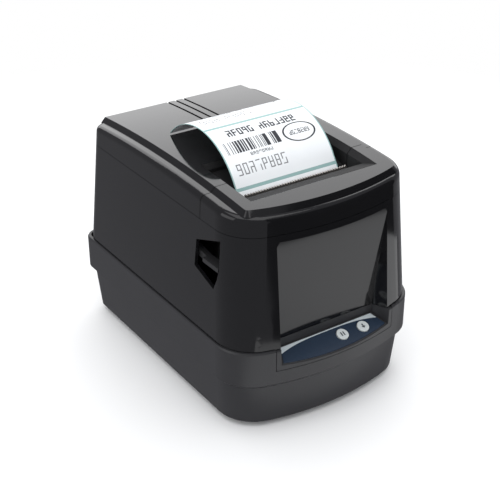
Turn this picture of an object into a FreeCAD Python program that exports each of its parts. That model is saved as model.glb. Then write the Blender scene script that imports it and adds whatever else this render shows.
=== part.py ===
import FreeCAD, Part
import math
import os

V = FreeCAD.Vector

# Case in plan: the widest band of the base, with its bowed front and rounded corners
CASE_WIDTH = 148.0
CASE_DEPTH = 216.0
BOW_RADIUS = 185.0
FRONT_CORNER = 27.0
REAR_CORNER = 10.0
WALL = 2.5
SIDE_X = CASE_WIDTH / 2
FRONT_Y = -CASE_DEPTH / 2
BACK_Y = CASE_DEPTH / 2

# Heights above the table
FOOT_HEIGHT = 3.0
BOTTOM_ROUND = 1.6
STEP_LOW = 33.0
STEP_HIGH = 36.5
BASE_TOP = 61.2
RIM_ROUND = 1.2
SEAM = 137.5
SEAM_GAP = 0.3
CROWN_TOP = 157.8
CROWN_RADIUS = 1000.0
CROWN_Y = 6.0
PLATEAU_RISE = 3.2
SHOULDER_ROUND = 4.0

# How far the case stands inside the widest band: at the sides, the front and the back
FOOTPRINT_INSET = (5.0, 6.3, 6.5)
STEP_INSET = (3.0, 3.6, 3.6)
BAND_INSET = (0.0, 0.0, 0.0)
RIM_INSET = (0.5, 0.5, 0.5)
HOUSING_INSET = (1.5, 1.7, 5.5)
SEAM_INSET = (5.5, 8.3, 13.5)

# Lip of the housing that plugs into the base, inside the housing's own outline
LIP_OUTER = 1.5
LIP_INNER = 3.8

# Top: raised plateau, split into a fixed bezel and a hinged lid
PLATEAU_HALF = SIDE_X - 13.7
PLATEAU_FRONT = FRONT_Y + 13.2
PLATEAU_BOW = 200.0
PLATEAU_CORNER = 6.0
CROSS_SEAM_Y = FRONT_Y + 58.0
CROSS_GAP = 0.5
GROOVE_PITCH = 6.6
GROOVE_WIDTH = 1.8
GROOVE_DEPTH = 1.0
GROOVE_FRONT_Y = 12.0

# Paper opening: a shallow dished rim, then a straight way down
RIM_HALF = SIDE_X - 25.5
RIM_FRONT = FRONT_Y + 31.5
RIM_REAR = FRONT_Y + 88.0
SLOT_HALF = SIDE_X - 28.7
SLOT_FRONT = FRONT_Y + 42.0
SLOT_REAR = FRONT_Y + 85.0
DISH_DROP = 3.5
DISH_STRETCH = 1.8
POCKET_WALL = 2.0
POCKET_FLOOR = 143.0
LID_FLOOR_FRONT = FRONT_Y + 62.0
LID_FLOOR_LOW = 143.0
LID_FLOOR_HIGH = 151.5

# Toothed tear bar at the front of the paper slot
TEAR_Y = FRONT_Y + 51.7
TEAR_THICK = 1.0
TEAR_TOP = 148.6
TEAR_HALF = SIDE_X - 34.0
TOOTH_PITCH = 2.0
TOOTH_HEIGHT = 1.1

# Front bay, key panel and keys
BAY_TOP = 133.0
BAY_TOP_HALF = SIDE_X - 31.0
BAY_TOP_Y = FRONT_Y + 12.5
BAY_LOW = 54.8
BAY_LOW_Y = FRONT_Y + 18.0
BAY_LOW_HALF = SIDE_X - 36.5
BAY_MOUTH_HALF = SIDE_X - 29.4
MOUTH_SHARE = 0.8
PANEL_HALF = SIDE_X - 27.0
PANEL_GAP = 0.4
PANEL_LOW = 45.8
PANEL_FRONT_Z = 48.6
PANEL_FRONT_Y = FRONT_Y + 2.5
OVERLAY_THICK = 0.5
OVERLAY_MARGIN = 1.4
KEY_RADIUS = 4.2
KEY_CLEAR = 0.35
KEY_PROUD = 0.9
KEY_TRAVEL = 0.8
KEY_SHARE = 0.55
BOARD_SINK = 6.0
PAUSE_X = 8.0
FEED_X = 25.0
LIGHT_X = -26.0
LIGHT_PITCH = 9.0
LIGHT_RADIUS = 1.2
LIGHT_COUNT = 3

# Web, roll and paper path
WEB_WIDTH = CASE_WIDTH - 69.0
WEB_THICK = 0.25
WEB_Y = FRONT_Y + 59.0
NIP_Z = 134.0
PAPER_GAP = 0.3
BEND_RADIUS = 9.0
BEND_Z = 125.0
ROLL_Z = 93.0
ROLL_RADIUS = (CASE_DEPTH - 132.0) / 2
ROLL_Y = BACK_Y - 32.0 - ROLL_RADIUS
CORE_RADIUS = 14.7
CORE_BORE = 12.7
LOOP_RADIUS = 48.0
LOOP_Y = FRONT_Y + 105.5
LOOP_TOP = 174.0
LOOP_SLOPE = 57.0
STRIP_BEND = 8.0
STRIP_LEAD = 1.0
TAIL_SLOPE = 48.0

# Platen and gear train
PLATEN_RADIUS = 6.5
PLATEN_HALF = SIDE_X - 32.5
SHAFT_RADIUS = 2.5
RUN_CLEAR = 0.05
GEAR_MODULE = 0.8
GEAR_WIDTH = 3.0
GEAR_BACKLASH = 0.16
PRESSURE_ANGLE = 20.0
TOOTH_TIP = 0.9
TOOTH_ROOT = 1.25
PLATEN_TEETH = 16
SMALL_TEETH = 24
LARGE_TEETH = 40
PINION_TEETH = 14
GEAR_A_X = SIDE_X - 19.7
GEAR_B_X = SIDE_X - 16.2
MOTOR_ANGLE = 224.0
MOTOR_RADIUS = 15.0
MOTOR_LENGTH = 18.0
MOTOR_BOSS = 5.0
MOTOR_SHAFT = 1.5
STUD_RADIUS = 2.0
STUD_END = 1.0
CHEEK_THICK = 3.0
BUSH_RADIUS = 5.0
CARRIER_REAR = FRONT_Y + 79.0
CARRIER_LOW = 128.0
CARRIER_SET = 1.0

# Print head
HEAD_HALF = SIDE_X - 31.0
HEAD_STRIP = 1.2
HEAD_CLEAR = 0.05
HEAD_THICK = 5.0
HEAD_MARGIN = 1.0
HEAD_LOW = 119.5
HEAD_TOP = 142.0
HEAD_PIVOT_Y = FRONT_Y + 55.0
HEAD_PIVOT_Z = 122.0
HEAD_PIN = 1.5
SPRING_X = 25.0
SPRING_Z = 136.0
SPRING_RADIUS = 3.0
SPRING_WIRE = 0.9
BRACKET_Y = FRONT_Y + 46.0
BRACKET_THICK = 3.0

# Mechanism side plates
PLATE_X = SIDE_X - 22.7
PLATE_THICK = 1.5
PLATE_FRONT = FRONT_Y + 38.0
PLATE_REAR = FRONT_Y + 91.5
PLATE_LOW = 30.0
PLATE_TOP = 136.0

# Cover release: two levers on one shaft
PIVOT_Y = FRONT_Y + 87.0
PIVOT_Z = 112.7
LATCH_RADIUS = 2.5
LEVER_X = SIDE_X - 11.5
LEVER_THICK = 4.0
LEVER_OUTER = SIDE_X - 4.4
BLADE_FRONT = FRONT_Y + 36.5
BLADE_REAR = FRONT_Y + 54.0
BLADE_LOW = 109.8
BLADE_TOP = 112.8
HOOK_X = SIDE_X - 31.6
HOOK_THICK = 2.4
HOOK_LIP = 1.6
HOOK_EDGE = 1.0

# Finger slot for the lever in each side wall: corners as depth and height
LEVER_SLOT_IN = SIDE_X - 27.0
LEVER_SLOT_TOP_REAR = (FRONT_Y + 61.3, 122.5)
LEVER_SLOT_TOP_FRONT = (FRONT_Y + 35.4, 131.8)
LEVER_SLOT_MID_FRONT = (FRONT_Y + 35.4, 111.7)
LEVER_SLOT_BEND = (FRONT_Y + 37.3, 104.5)
LEVER_SLOT_LOW_FRONT = (FRONT_Y + 40.6, 96.8)
LEVER_SLOT_LOW_REAR = (FRONT_Y + 62.8, 103.7)

# Roll bucket and sliding guides
BUCKET_HALF = SIDE_X - 17.5
BUCKET_WALL = 2.5
BUCKET_RADIUS = ROLL_RADIUS + 5.0
BUCKET_FLAT = 20.0
BUCKET_FRONT_TOP = 70.0
BUCKET_TOP = 118.0
GUIDE_GAP = 0.5
GUIDE_THICK = 3.0
GUIDE_HALF = 24.0
HUB_LENGTH = 6.0
RACK_MODULE = 1.0
RACK_TEETH = 12
RACK_HEIGHT = 3.0
RACK_BAR = 4.0
RACK_REACH = 20.0
RACK_FLOAT = 0.2
PINION_STUD = 2.0

# Hinge of the lid
HINGE_REACH = 4.5
HINGE_KNUCKLE = 3.2
HINGE_PIN = 1.5
EAR_X = SIDE_X - 34.0
EAR_THICK = 4.0
KNUCKLE_LENGTH = 7.4
HINGE_SIDE_GAP = 0.4

# Base fittings
FOOT_RADIUS = 8.0
FOOT_X = SIDE_X - 22.0
FOOT_FRONT_Y = FRONT_Y + 32.0
FOOT_REAR_Y = BACK_Y - 24.0
BOSS_RADIUS = 4.0
BOSS_X = SIDE_X - 12.0
BOSS_FRONT_Y = FRONT_Y + 50.0
BOSS_REAR_Y = BACK_Y - 36.0
BOSS_TOP = 57.0
SCREW_RADIUS = 1.5
SCREW_HEAD = 3.0
SCREW_HEAD_HEIGHT = 2.0
SCREW_SEAT = 48.0
SCREW_LENGTH = 20.0
POST_RADIUS = 3.5

# Circuit board and rear sockets
BOARD_HALF = SIDE_X - 30.0
BOARD_FRONT = -20.0
BOARD_REAR = BACK_Y - 11.0
BOARD_Z = 14.0
BOARD_THICK = 1.6
SOCKET_FIT = 0.3
USB_X = 22.0
USB_WIDTH = 12.0
USB_HEIGHT = 11.0
USB_DEPTH = 14.0
USB_MOUTH_HALF = 4.2
USB_RIM = 1.6
TONGUE_HALF = 2.8
TONGUE_LOW = 4.0
TONGUE_THICK = 3.0
JACK_X = 0.0
JACK_WIDTH = 10.0
JACK_HEIGHT = 11.0
JACK_BORE = 3.3
SWITCH_X = -28.0
SWITCH_WIDTH = 20.0
SWITCH_HEIGHT = 13.0
SWITCH_DEPTH = 14.0
SWITCH_Z = 22.0
ROCKER_PROUD = 1.5
ROCKER_WALL = 2.0
ROCKER_SHELF = 1.5
ROCKER_TAPER = 1.0
ROCKER_PIN = 1.2

# Small parts: capacitors and chips on the board, the web sensor and the lid switch
CAN_RADIUS = 6.0
CAN_CLEAR = 11.9
CAN_Y = 10.0
CAN_XS = (-20.0, -4.0)
CHIP_THICK = 1.6
MAIN_CHIP = (10.0, 24.0, 20.0, 34.0)
DRIVER_CHIP = (-24.0, -12.0, 40.0, 50.0)
MEMORY_CHIP = (14.0, 20.0, 52.0, 60.0)
SENSOR_HALF = 6.0
SENSOR_FRONT = 2.0
SENSOR_REAR = 5.0
LID_SWITCH_THICK = 6.0
LID_SWITCH_DEPTH = (FRONT_Y + 42.0, FRONT_Y + 54.0)
LID_SWITCH_HEIGHT = (124.0, 132.0)

# Values worked out from the ones above
HINGE_Y = CASE_DEPTH / 2 - SEAM_INSET[2] - HINGE_REACH
HINGE_Z = SEAM + HINGE_REACH
PLATEN_Y = WEB_Y + PAPER_GAP + PLATEN_RADIUS
HEAD_FACE = WEB_Y - WEB_THICK - HEAD_CLEAR
COMPOUND_Z = NIP_Z - GEAR_MODULE * (PLATEN_TEETH + SMALL_TEETH) / 2
MOTOR_REACH = GEAR_MODULE * (LARGE_TEETH + PINION_TEETH) / 2
MOTOR_Y = PLATEN_Y + MOTOR_REACH * math.cos(math.radians(MOTOR_ANGLE))
MOTOR_Z = COMPOUND_Z + MOTOR_REACH * math.sin(math.radians(MOTOR_ANGLE))
FLOOR_TOP = FOOT_HEIGHT + WALL
BUCKET_LOW = ROLL_Z - BUCKET_RADIUS
RACK_PITCH = RACK_MODULE * RACK_TEETH / 2
PANEL_SLOPE = math.atan2(BAY_LOW - PANEL_FRONT_Z, BAY_LOW_Y - PANEL_FRONT_Y)
FAR = 400.0
TOP_LIMIT = CROWN_TOP + SHOULDER_ROUND
PANEL_REAR = BAY_LOW_Y + WALL * 2
KEY_BACK = (BAY_LOW_Y - PANEL_FRONT_Y) * KEY_SHARE / math.cos(PANEL_SLOPE)
CHEEK_X = SLOT_HALF + POCKET_WALL
HOOK_TOP = NIP_Z + SHAFT_RADIUS + HOOK_LIP
HOOK_NOSE_Y = PLATEN_Y + SHAFT_RADIUS + PAPER_GAP * 2
LEVER_SLOT = [LEVER_SLOT_TOP_REAR, LEVER_SLOT_TOP_FRONT, LEVER_SLOT_MID_FRONT,
              LEVER_SLOT_BEND, LEVER_SLOT_LOW_FRONT, LEVER_SLOT_LOW_REAR]
LIGHT_XS = [LIGHT_X + LIGHT_PITCH * n for n in range(LIGHT_COUNT)]
KEY_XS = [PAUSE_X, FEED_X]
FEET = [(x, y) for x in (-FOOT_X, FOOT_X) for y in (FOOT_FRONT_Y, FOOT_REAR_Y)]
BOSSES = [(x, y) for x in (-BOSS_X, BOSS_X) for y in (BOSS_FRONT_Y, BOSS_REAR_Y)]
PLATE_POSTS = [(x, y) for x in (-PLATE_X - PLATE_THICK / 2, PLATE_X + PLATE_THICK / 2)
               for y in (PLATE_FRONT + POST_RADIUS, PLATE_REAR - POST_RADIUS)]
BUCKET_POSTS = [(x, y) for x in (-BUCKET_HALF + POST_RADIUS, BUCKET_HALF - POST_RADIUS)
                for y in (ROLL_Y - BUCKET_FLAT, ROLL_Y + BUCKET_FLAT)]
BOARD_POSTS = [(x, y) for x in (-BOARD_HALF + POST_RADIUS, BOARD_HALF - POST_RADIUS)
               for y in (BOARD_FRONT + POST_RADIUS, BOARD_REAR - USB_DEPTH - POST_RADIUS)]
BUCKET_BASE = BUCKET_LOW - BUCKET_WALL
REAR_WALL_Y = CASE_DEPTH / 2 - STEP_INSET[2]
USB_Z = BOARD_Z + BOARD_THICK
CAN_HEIGHT = BUCKET_BASE - USB_Z - CAN_CLEAR


def block(x0, x1, y0, y1, z0, z1):
    return Part.makeBox(x1 - x0, y1 - y0, z1 - z0, V(x0, y0, z0))


def rod_x(radius, x0, x1, y, z):
    return Part.makeCylinder(radius, x1 - x0, V(x0, y, z), V(1, 0, 0))


def rod_y(radius, y0, y1, x, z):
    return Part.makeCylinder(radius, y1 - y0, V(x, y0, z), V(0, 1, 0))


def rod_z(radius, z0, z1, x, y):
    return Part.makeCylinder(radius, z1 - z0, V(x, y, z0))


def prism_x(points, x0, x1):
    ring = [V(x0, y, z) for y, z in points]
    face = Part.Face(Part.makePolygon(ring + ring[:1]))
    return face.extrude(V(x1 - x0, 0, 0))


def mirrored(shape):
    return shape.mirror(V(0, 0, 0), V(1, 0, 0))


def fused(shapes):
    return shapes[0].multiFuse(shapes[1:]).removeSplitter()


def save(name, shape):
    shape.exportStep("parts/" + name + ".step")


def blend_inset(low, high, z_low, z_high, z):
    share = (z - z_low) / (z_high - z_low)
    return tuple(a + (b - a) * share for a, b in zip(low, high))


def case_inset(z):
    return blend_inset(HOUSING_INSET, SEAM_INSET, BASE_TOP, SEAM, z)


def plan_wire(half, front, back, corner, rear_corner, bow, z):
    """Closed outline: straight sides and back, bowed front, corners tangent to both."""
    corner_x = half - corner
    corner_y = front + bow - math.sqrt((bow - corner) ** 2 - corner_x ** 2)
    reach = bow / (bow - corner)
    touch_x = corner_x * reach
    touch_y = front + bow + (corner_y - front - bow) * reach
    lean = math.atan2(touch_y - corner_y, touch_x - corner_x) / 2
    mid_x = corner_x + corner * math.cos(lean)
    mid_y = corner_y + corner * math.sin(lean)
    rear_x = half - rear_corner
    rear_y = back - rear_corner
    slant = rear_corner * math.sqrt(0.5)

    def at(x, y):
        return V(x, y, z)

    edges = [
        Part.LineSegment(at(-half, corner_y), at(-half, rear_y)),
        Part.Arc(at(-half, rear_y), at(-rear_x - slant, rear_y + slant), at(-rear_x, back)),
        Part.LineSegment(at(-rear_x, back), at(rear_x, back)),
        Part.Arc(at(rear_x, back), at(rear_x + slant, rear_y + slant), at(half, rear_y)),
        Part.LineSegment(at(half, rear_y), at(half, corner_y)),
        Part.Arc(at(half, corner_y), at(mid_x, mid_y), at(touch_x, touch_y)),
        Part.Arc(at(touch_x, touch_y), at(0, front), at(-touch_x, touch_y)),
        Part.Arc(at(-touch_x, touch_y), at(-mid_x, mid_y), at(-half, corner_y)),
    ]
    return Part.Wire([edge.toShape() for edge in edges])


def case_wire(inset, z, inward=0.0):
    side, front, back = inset
    return plan_wire(
        CASE_WIDTH / 2 - side - inward,
        -CASE_DEPTH / 2 + front + inward,
        CASE_DEPTH / 2 - back - inward,
        FRONT_CORNER - inward,
        REAR_CORNER - inward,
        BOW_RADIUS - inward,
        z,
    )


def case_solid(levels, inward=0.0):
    wires = [case_wire(inset, z, inward) for inset, z in levels]
    return Part.makeLoft(wires, True, True)


def inner_case(z_low, z_high):
    return case_solid([(case_inset(z_low), z_low), (case_inset(z_high), z_high)], WALL)


def crown_z(y):
    return CROWN_TOP - CROWN_RADIUS + math.sqrt(CROWN_RADIUS ** 2 - (y - CROWN_Y) ** 2)


def crown_limit(top):
    barrel = rod_x(CROWN_RADIUS, -FAR / 2, FAR / 2, CROWN_Y, top - CROWN_RADIUS)
    barrel.rotate(V(0, CROWN_Y, top - CROWN_RADIUS), V(1, 0, 0), 180)
    return barrel


def gear_face_points(teeth, module, turn):
    """Outline of a spur gear with 20 degree flanks, one tooth centred on the angle turn."""
    pitch = module * teeth / 2
    pressure = math.radians(PRESSURE_ANGLE)
    base = pitch * math.cos(pressure)
    tip = pitch + TOOTH_TIP * module
    root = pitch - TOOTH_ROOT * module
    half = math.pi / (2 * teeth) - GEAR_BACKLASH / (2 * pitch)
    involute = math.tan(pressure) - pressure

    def flank(radius):
        swing = math.acos(min(1.0, base / radius))
        return half + involute - (math.tan(swing) - swing)

    radii = [root, max(root, base), (max(root, base) + tip) / 2, tip]
    points = []
    for tooth in range(teeth):
        centre = turn + 2 * math.pi * tooth / teeth
        points += [(radius, centre - flank(radius)) for radius in radii]
        points += [(radius, centre + flank(radius)) for radius in reversed(radii)]
    distinct = [points[0]]
    for point in points[1:]:
        if abs(point[0] - distinct[-1][0]) + abs(point[1] - distinct[-1][1]) > 1e-6:
            distinct.append(point)
    return [(radius * math.cos(angle), radius * math.sin(angle)) for radius, angle in distinct]


def gear_x(teeth, turn, bore, x0, y, z):
    outline = [(y + a, z + b) for a, b in gear_face_points(teeth, GEAR_MODULE, turn)]
    wheel = prism_x(outline, x0, x0 + GEAR_WIDTH)
    return wheel.cut(rod_x(bore, x0, x0 + GEAR_WIDTH, y, z)) if bore else wheel


def top_solid(inward):
    """The whole top: drafted walls up to a crowned shoulder, and the raised plateau on it."""
    low = SEAM + SEAM_GAP - inward
    walls = case_solid([(case_inset(low), low), (case_inset(TOP_LIMIT), TOP_LIMIT)], inward)
    shoulder = walls.common(crown_limit(CROWN_TOP - PLATEAU_RISE - inward))
    if not inward:
        high = [e for e in shoulder.Edges if e.BoundBox.ZMin > SEAM + SEAM_GAP + 1]
        rear = CASE_DEPTH / 2 - case_inset(TOP_LIMIT)[2] - REAR_CORNER
        rims = [e for e in high if e.BoundBox.ZLength < SHOULDER_ROUND and e.BoundBox.YMin < rear]
        shoulder = shoulder.makeFillet(SHOULDER_ROUND, rims)
    plan = plan_wire(PLATEAU_HALF - inward, PLATEAU_FRONT + inward, BACK_Y + REAR_CORNER * 2,
                     PLATEAU_CORNER - inward, REAR_CORNER, PLATEAU_BOW - inward, low)
    plateau = Part.Face(plan).extrude(V(0, 0, TOP_LIMIT - low)).common(crown_limit(CROWN_TOP - inward))
    brow = [e for e in plateau.Edges if e.BoundBox.ZMin > SEAM + WALL * 2 and e.BoundBox.YMin < 0]
    plateau = plateau.makeChamfer(PLATEAU_RISE, brow)
    return fused([shoulder, plateau.common(walls)])


def rim_ring(stretch):
    """Rim of the paper opening: stretch 0 is its lower edge, 1 the edge on the plateau."""
    def corner(sign, low_y, rim_y):
        low = V(sign * SLOT_HALF, low_y, crown_z(low_y) - DISH_DROP)
        rim = V(sign * RIM_HALF, rim_y, crown_z(rim_y))
        return low + (rim - low) * stretch
    ring = [corner(-1, SLOT_FRONT, RIM_FRONT), corner(1, SLOT_FRONT, RIM_FRONT),
            corner(1, SLOT_REAR, RIM_REAR), corner(-1, SLOT_REAR, RIM_REAR)]
    return Part.makePolygon(ring + ring[:1])


def opening_dish():
    return Part.makeLoft([rim_ring(0.0), rim_ring(DISH_STRETCH)], True, True)


def bay_solid(grow):
    """The recessed bay: a tapering pocket open to the front, larger by grow on every side."""
    low = BAY_LOW - WALL * 4 - grow
    top = BAY_TOP + grow
    spread = BAY_LOW_Y + CASE_DEPTH / 2 + WALL
    flare = BAY_MOUTH_HALF + WALL * MOUTH_SHARE - BAY_LOW_HALF

    def ring(shift, wider):
        low_half = BAY_LOW_HALF + wider + grow
        top_half = BAY_TOP_HALF + wider + grow
        return [V(-low_half, BAY_LOW_Y + shift, low), V(low_half, BAY_LOW_Y + shift, low),
                V(top_half, BAY_TOP_Y + shift, top), V(-top_half, BAY_TOP_Y + shift, top)]
    back = ring(grow, 0.0)
    mouth = ring(-spread, flare)
    rings = [back, mouth]
    rings += [[back[n - 1], back[n], mouth[n], mouth[n - 1]] for n in range(len(back))]
    faces = [Part.Face(Part.makePolygon(ring + ring[:1])) for ring in rings]
    solid = Part.Solid(Part.Shell(faces))
    return solid if solid.Volume > 0 else solid.reversed()


def panel_top(shift):
    """Everything above the sloping face of the key panel, moved up by shift along its normal."""
    face = Part.makePlane(FAR, FAR, V(-FAR / 2, -FAR / 2, 0))
    space = face.extrude(V(0, 0, FAR))
    space.rotate(V(0, 0, 0), V(1, 0, 0), math.degrees(PANEL_SLOPE))
    space.translate(V(0, BAY_LOW_Y, BAY_LOW) + panel_normal() * shift)
    return space


def panel_normal():
    return V(0, -math.sin(PANEL_SLOPE), math.cos(PANEL_SLOPE))


def panel_point(x, back):
    """A point on the panel's face, at a distance back from its rear edge."""
    return V(x, BAY_LOW_Y - back * math.cos(PANEL_SLOPE), BAY_LOW - back * math.sin(PANEL_SLOPE))


def panel_rod(radius, x, low, high):
    base = panel_point(x, KEY_BACK) + panel_normal() * low
    return Part.makeCylinder(radius, high - low, base, panel_normal())


def base_outer():
    foot_low = FOOT_HEIGHT + BOTTOM_ROUND
    tucked = tuple(value + BOTTOM_ROUND for value in FOOTPRINT_INSET)
    return case_solid([
        (tucked, FOOT_HEIGHT), (FOOTPRINT_INSET, foot_low), (STEP_INSET, STEP_LOW),
        (BAND_INSET, STEP_HIGH), (BAND_INSET, BASE_TOP - RIM_ROUND), (RIM_INSET, BASE_TOP),
    ])


def rear_cut(x, width, height, z_low):
    return block(x - width / 2, x + width / 2, REAR_WALL_Y - WALL * 4, CASE_DEPTH, z_low, z_low + height)


def make_base():
    outer = base_outer()
    hollow = case_solid([
        (FOOTPRINT_INSET, FLOOR_TOP), (STEP_INSET, STEP_LOW), (BAND_INSET, STEP_HIGH + WALL / 2),
        (BAND_INSET, BASE_TOP + WALL),
    ], WALL)
    shell = outer.cut(hollow)
    posts = [rod_z(BOSS_RADIUS, FLOOR_TOP - WALL / 2, BOSS_TOP, x, y) for x, y in BOSSES]
    posts += [rod_z(POST_RADIUS, FLOOR_TOP - WALL / 2, PLATE_LOW, x, y) for x, y in PLATE_POSTS]
    posts += [rod_z(POST_RADIUS, FLOOR_TOP - WALL / 2, BUCKET_BASE, x, y) for x, y in BUCKET_POSTS]
    posts += [rod_z(POST_RADIUS, FLOOR_TOP - WALL / 2, BOARD_Z, x, y) for x, y in BOARD_POSTS]
    tub = fused([shell] + [post.common(outer) for post in posts])
    cuts = [rod_z(SCREW_HEAD + SOCKET_FIT, 0, SCREW_SEAT, x, y) for x, y in BOSSES]
    cuts += [rod_z(SCREW_RADIUS + RUN_CLEAR, 0, BOSS_TOP + 1, x, y) for x, y in BOSSES]
    cuts.append(block(-PANEL_HALF, PANEL_HALF, -CASE_DEPTH, PANEL_REAR - PANEL_GAP,
                      PANEL_LOW, BASE_TOP + WALL))
    cuts.append(rear_cut(USB_X, USB_WIDTH + 2 * SOCKET_FIT, USB_HEIGHT + SOCKET_FIT, USB_Z))
    cuts.append(rear_cut(JACK_X, JACK_WIDTH + 2 * SOCKET_FIT, JACK_HEIGHT + SOCKET_FIT, USB_Z))
    cuts.append(rear_cut(SWITCH_X, SWITCH_WIDTH, SWITCH_HEIGHT, SWITCH_Z - SWITCH_HEIGHT / 2))
    return tub.cut(Part.makeCompound(cuts))


def make_panel():
    space = block(-PANEL_HALF + PANEL_GAP, PANEL_HALF - PANEL_GAP, -CASE_DEPTH, PANEL_REAR,
                  PANEL_LOW + PANEL_GAP, BASE_TOP - PANEL_GAP)
    front = base_outer().common(space)
    bay = bay_solid(0.0)
    above = panel_top(0.0)
    step_back = block(-FAR, FAR, BAY_LOW_Y, FAR, BAY_LOW - PANEL_GAP * 2, FAR)
    body = front.cut(bay.common(above)).cut(step_back)
    half = PANEL_HALF - WALL * 2
    under = front.common(block(-half, half, -CASE_DEPTH / 2 + WALL * 3, FAR, 0, FAR))
    body = body.cut(under.cut(panel_top(-WALL)))
    holes = [panel_rod(KEY_RADIUS + KEY_CLEAR, x, -FAR / 10, WALL) for x in KEY_XS]
    holes += [panel_rod(LIGHT_RADIUS + RUN_CLEAR, x, -FAR / 10, WALL) for x in LIGHT_XS]
    return body.cut(Part.makeCompound(holes))


def make_overlay():
    sheet = panel_top(0.0).cut(panel_top(OVERLAY_THICK))
    bay = bay_solid(-OVERLAY_MARGIN)
    edge = base_outer().common(block(-FAR, FAR, -CASE_DEPTH, BAY_LOW_Y - OVERLAY_MARGIN, 0, BASE_TOP))
    inside = case_solid([(BAND_INSET, STEP_HIGH), (BAND_INSET, BASE_TOP)], OVERLAY_MARGIN)
    film = sheet.common(bay).common(edge).common(inside)
    holes = [panel_rod(KEY_RADIUS + KEY_CLEAR, x, -WALL, WALL) for x in KEY_XS]
    return film.cut(Part.makeCompound(holes))


def make_key(x):
    cap = panel_rod(KEY_RADIUS, x, -WALL + KEY_CLEAR, OVERLAY_THICK + KEY_PROUD)
    stem = panel_rod(KEY_RADIUS / 2, x, -BOARD_SINK + KEY_TRAVEL + KEY_CLEAR, -WALL + KEY_CLEAR)
    top = [e for e in cap.Edges if e.BoundBox.ZMax > panel_point(x, KEY_BACK).z + OVERLAY_THICK
           and e.Curve.TypeId == "Part::GeomCircle"]
    highest = max(top, key=lambda e: e.CenterOfMass.dot(panel_normal()))
    return fused([cap.makeFillet(KEY_PROUD / 2, [highest]), stem])


def make_button_board():
    half = PANEL_HALF - WALL * 3
    plate = panel_top(-BOARD_SINK - BOARD_THICK).cut(panel_top(-BOARD_SINK))
    space = block(-half, half, -CASE_DEPTH / 2 + WALL * 5, PANEL_REAR - WALL, 0, FAR)
    return plate.common(space)


def make_housing():
    housing_outer = case_solid([(HOUSING_INSET, BASE_TOP), (SEAM_INSET, SEAM)])
    hollow = inner_case(BASE_TOP - WALL, SEAM + WALL)
    lip_z = BASE_TOP - WALL * 2
    lip = case_solid([(HOUSING_INSET, lip_z), (HOUSING_INSET, BASE_TOP + WALL / 2)], LIP_OUTER)
    lip_hollow = case_solid([(HOUSING_INSET, lip_z - WALL), (HOUSING_INSET, BASE_TOP + WALL)], LIP_INNER)
    lip = lip.cut(lip_hollow)
    lip = lip.cut(block(-PANEL_HALF - WALL, PANEL_HALF + WALL, -FAR, BOSS_FRONT_Y, 0, FAR))
    liner = bay_solid(WALL).common(housing_outer).cut(block(-FAR, FAR, -FAR, FAR, 0, BASE_TOP))
    shell = housing_outer.cut(hollow)
    pieces = [shell, lip, liner]
    for x, y in BOSSES:
        side = math.copysign(1.0, x)
        boss = rod_z(BOSS_RADIUS, BOSS_TOP, BOSS_TOP + SCREW_LENGTH + WALL, x, y)
        near = sorted([x, x + side * (BOSS_RADIUS + WALL * 2)])
        rib = block(near[0], near[1], y - WALL / 2, y + WALL / 2, BASE_TOP, BOSS_TOP + SCREW_LENGTH + WALL)
        pieces += [boss.cut(block(-FAR, FAR, -FAR, FAR, 0, BOSS_TOP)), rib.common(housing_outer)]
    for x in (-EAR_X - EAR_THICK, EAR_X):
        pieces.append(make_ear(x))
    body = fused(pieces).cut(bay_solid(0.0))
    cuts = [rod_z(SCREW_RADIUS + RUN_CLEAR, 0, BOSS_TOP + SCREW_LENGTH, x, y) for x, y in BOSSES]
    slot = prism_x(LEVER_SLOT, LEVER_SLOT_IN, CASE_WIDTH / 2)
    cuts += [slot, mirrored(slot)]
    cuts += [rod_x(HINGE_PIN, x, x + EAR_THICK, HINGE_Y, HINGE_Z) for x in (-EAR_X - EAR_THICK, EAR_X)]
    return body.cut(Part.makeCompound(cuts))


def make_ear(x):
    wall_in = CASE_DEPTH / 2 - SEAM_INSET[2] - WALL / 2
    stem = prism_x([(HINGE_Y - HINGE_KNUCKLE, HINGE_Z), (HINGE_Y - HINGE_KNUCKLE, SEAM - WALL * 3),
                    (wall_in, SEAM - WALL * 5), (wall_in, HINGE_Z - HINGE_REACH),
                    (HINGE_Y + HINGE_KNUCKLE, HINGE_Z)], x, x + EAR_THICK)
    return fused([stem, rod_x(HINGE_KNUCKLE, x, x + EAR_THICK, HINGE_Y, HINGE_Z)])


def shell_top():
    hollow = top_solid(WALL)
    open_low = inner_case(SEAM - WALL, SEAM + WALL)
    return top_solid(0.0), fused([hollow, open_low])


def make_bezel(outer, hollow):
    front = block(-FAR, FAR, -FAR, CROSS_SEAM_Y - CROSS_GAP / 2, 0, FAR)
    pocket = block(-SLOT_HALF - POCKET_WALL, SLOT_HALF + POCKET_WALL, RIM_FRONT + POCKET_WALL,
                   CROSS_SEAM_Y, POCKET_FLOOR, FAR).common(outer)
    ring = fused([outer.cut(hollow), pocket]).common(front)
    well = block(-SLOT_HALF, SLOT_HALF, SLOT_FRONT, TEAR_Y - TEAR_THICK / 2, POCKET_FLOOR + POCKET_WALL, FAR)
    way = block(-SLOT_HALF, SLOT_HALF, TEAR_Y - TEAR_THICK / 2, 0, 0, FAR)
    return ring.cut(well).cut(way).cut(opening_dish())


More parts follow.
